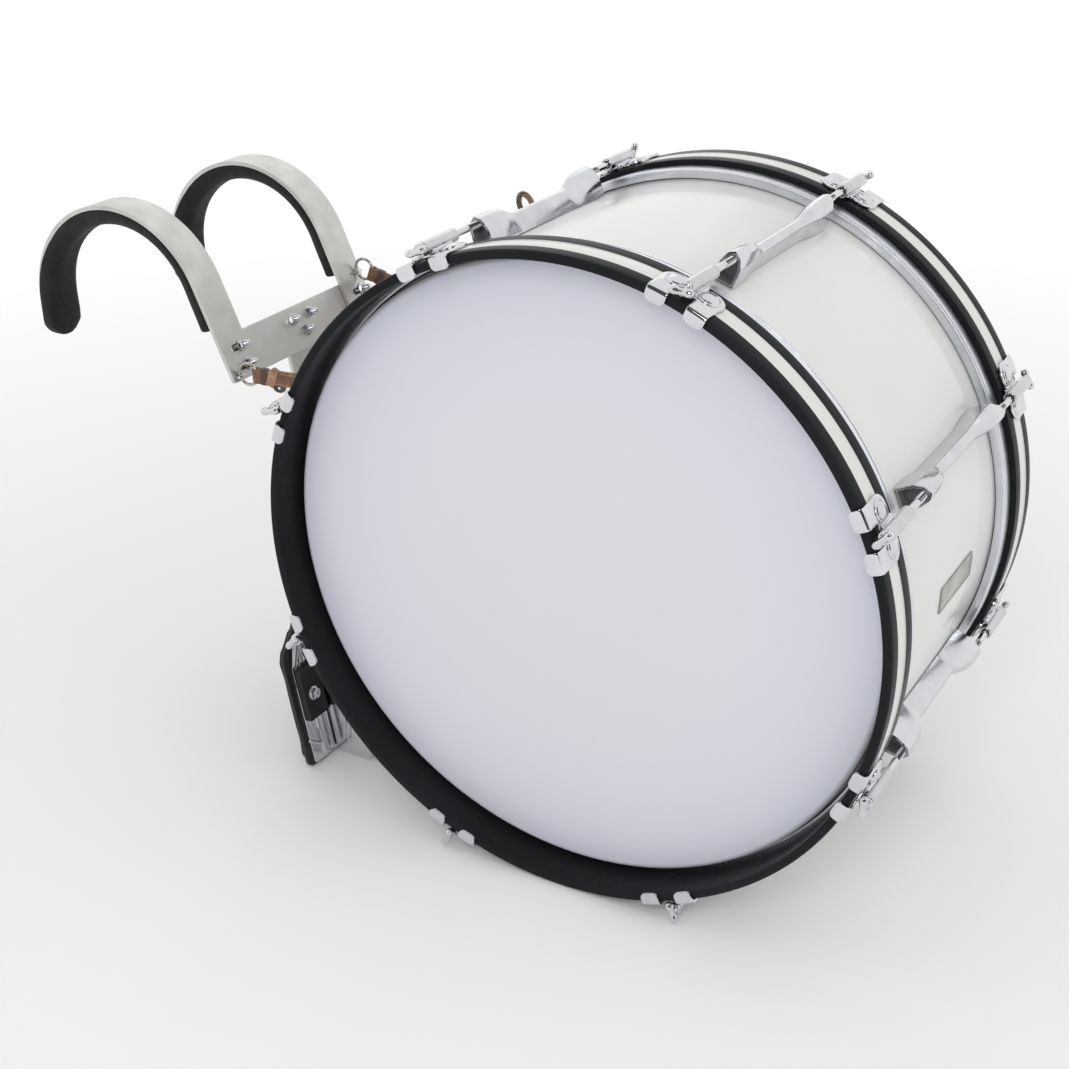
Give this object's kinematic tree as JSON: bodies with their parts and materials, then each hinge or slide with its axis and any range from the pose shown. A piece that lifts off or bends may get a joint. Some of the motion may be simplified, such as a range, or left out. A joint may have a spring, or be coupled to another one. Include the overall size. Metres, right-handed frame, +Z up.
{
  "type": "marching bass drum",
  "caption": "Marching bass drum on a shoulder carrier: white shell, two bare heads, black hoops held by claws and T-rods, padded shoulder bars and a belly plate.",
  "frame": {"origin": "on the ground, under the middle of the part's bounding box", "axes": "+Z up; +Y the way the player faces, from the carrier to the drum; +X to the player's right, along the drum's axis"},
  "size_m": [0.3796, 0.9036, 0.5866],
  "materials": {
    "shell": "gloss white lacquer over a laminated wood shell",
    "head": "coated plastic film in an aluminium flesh hoop",
    "hoop": "gloss black lacquer over bent laminated wood",
    "lug": "chrome-plated die-cast alloy",
    "claw": "chrome-plated pressed steel",
    "rod": "chrome-plated steel",
    "frame": "satin flat bar",
    "pad": "black closed-cell foam",
    "plate": "black moulded plate",
    "bracket": "chrome-plated steel sheet",
    "ring": "nickel-plated steel",
    "strap": "brown harness leather"
  },
  "bodies": {
    "drum_and_carrier": {"shell": "shell", "right_head": "head", "left_head": "head", "right_hoop": "hoop", "left_hoop": "hoop", "lug_1": "lug", "lug_2": "lug", "lug_3": "lug", "lug_4": "lug", "lug_5": "lug", "lug_6": "lug", "lug_7": "lug", "lug_8": "lug", "right_claw_1": "claw", "left_claw_1": "claw", "right_claw_2": "claw", "left_claw_2": "claw", "right_claw_3": "claw", "left_claw_3": "claw", "right_claw_4": "claw", "left_claw_4": "claw", "right_claw_5": "claw", "left_claw_5": "claw", "right_claw_6": "claw", "left_claw_6": "claw", "right_claw_7": "claw", "left_claw_7": "claw", "right_claw_8": "claw", "left_claw_8": "claw", "carrier_crossbar": "frame", "carrier_upright": "frame", "belly_plate": "plate", "belly_foam": "pad", "drum_bracket": "bracket", "right_strap": "strap", "right_snap_hook": "ring", "left_strap": "strap", "left_snap_hook": "ring"},
    "right_shoulder": {"right_shoulder_bar": "frame", "right_shoulder_pad": "pad", "right_ring": "ring"},
    "left_shoulder": {"left_shoulder_bar": "frame", "left_shoulder_pad": "pad", "left_ring": "ring"},
    "right_t_rod_1": {"right_t_rod_1": "rod"},
    "left_t_rod_1": {"left_t_rod_1": "rod"},
    "right_t_rod_2": {"right_t_rod_2": "rod"},
    "left_t_rod_2": {"left_t_rod_2": "rod"},
    "right_t_rod_3": {"right_t_rod_3": "rod"},
    "left_t_rod_3": {"left_t_rod_3": "rod"},
    "right_t_rod_4": {"right_t_rod_4": "rod"},
    "left_t_rod_4": {"left_t_rod_4": "rod"},
    "right_t_rod_5": {"right_t_rod_5": "rod"},
    "left_t_rod_5": {"left_t_rod_5": "rod"},
    "right_t_rod_6": {"right_t_rod_6": "rod"},
    "left_t_rod_6": {"left_t_rod_6": "rod"},
    "right_t_rod_7": {"right_t_rod_7": "rod"},
    "left_t_rod_7": {"left_t_rod_7": "rod"},
    "right_t_rod_8": {"right_t_rod_8": "rod"},
    "left_t_rod_8": {"left_t_rod_8": "rod"}
  },
  "joints": [
    {"name": "right_shoulder_width", "type": "slide", "parent": "drum_and_carrier", "child": "right_shoulder", "axis": [1, 0, 0], "range_m": [-0.012, 0.001], "deforming": ["right_strap"]},
    {"name": "left_shoulder_width", "type": "slide", "parent": "drum_and_carrier", "child": "left_shoulder", "axis": [1, 0, 0], "range_m": [-0.012, 0.001], "deforming": ["left_strap"]},
    {"name": "right_t_rod_1_turn", "type": "hinge", "parent": "drum_and_carrier", "child": "right_t_rod_1", "pos_m": [0.1, 0.43793, 0.40906], "axis": [1, 0, 0], "continuous": true},
    {"name": "left_t_rod_1_turn", "type": "hinge", "parent": "drum_and_carrier", "child": "left_t_rod_1", "pos_m": [-0.1, 0.43793, 0.40906], "axis": [-1, 0, 0], "continuous": true},
    {"name": "right_t_rod_2_turn", "type": "hinge", "parent": "drum_and_carrier", "child": "right_t_rod_2", "pos_m": [0.1, 0.27422, 0.57277], "axis": [1, 0, 0], "continuous": true},
    {"name": "left_t_rod_2_turn", "type": "hinge", "parent": "drum_and_carrier", "child": "left_t_rod_2", "pos_m": [-0.1, 0.27422, 0.57277], "axis": [-1, 0, 0], "continuous": true},
    {"name": "right_t_rod_3_turn", "type": "hinge", "parent": "drum_and_carrier", "child": "right_t_rod_3", "pos_m": [0.1, 0.04269, 0.57277], "axis": [1, 0, 0], "continuous": true},
    {"name": "left_t_rod_3_turn", "type": "hinge", "parent": "drum_and_carrier", "child": "left_t_rod_3", "pos_m": [-0.1, 0.04269, 0.57277], "axis": [-1, 0, 0], "continuous": true},
    {"name": "right_t_rod_4_turn", "type": "hinge", "parent": "drum_and_carrier", "child": "right_t_rod_4", "pos_m": [0.1, -0.12102, 0.40906], "axis": [1, 0, 0], "continuous": true},
    {"name": "left_t_rod_4_turn", "type": "hinge", "parent": "drum_and_carrier", "child": "left_t_rod_4", "pos_m": [-0.1, -0.12102, 0.40906], "axis": [-1, 0, 0], "continuous": true},
    {"name": "right_t_rod_5_turn", "type": "hinge", "parent": "drum_and_carrier", "child": "right_t_rod_5", "pos_m": [0.1, -0.12102, 0.17754], "axis": [1, 0, 0], "continuous": true},
    {"name": "left_t_rod_5_turn", "type": "hinge", "parent": "drum_and_carrier", "child": "left_t_rod_5", "pos_m": [-0.1, -0.12102, 0.17754], "axis": [-1, 0, 0], "continuous": true},
    {"name": "right_t_rod_6_turn", "type": "hinge", "parent": "drum_and_carrier", "child": "right_t_rod_6", "pos_m": [0.1, 0.04269, 0.01383], "axis": [1, 0, 0], "continuous": true},
    {"name": "left_t_rod_6_turn", "type": "hinge", "parent": "drum_and_carrier", "child": "left_t_rod_6", "pos_m": [-0.1, 0.04269, 0.01383], "axis": [-1, 0, 0], "continuous": true},
    {"name": "right_t_rod_7_turn", "type": "hinge", "parent": "drum_and_carrier", "child": "right_t_rod_7", "pos_m": [0.1, 0.27422, 0.01383], "axis": [1, 0, 0], "continuous": true},
    {"name": "left_t_rod_7_turn", "type": "hinge", "parent": "drum_and_carrier", "child": "left_t_rod_7", "pos_m": [-0.1, 0.27422, 0.01383], "axis": [-1, 0, 0], "continuous": true},
    {"name": "right_t_rod_8_turn", "type": "hinge", "parent": "drum_and_carrier", "child": "right_t_rod_8", "pos_m": [0.1, 0.43793, 0.17754], "axis": [1, 0, 0], "continuous": true},
    {"name": "left_t_rod_8_turn", "type": "hinge", "parent": "drum_and_carrier", "child": "left_t_rod_8", "pos_m": [-0.1, 0.43793, 0.17754], "axis": [-1, 0, 0], "continuous": true}
  ]
}
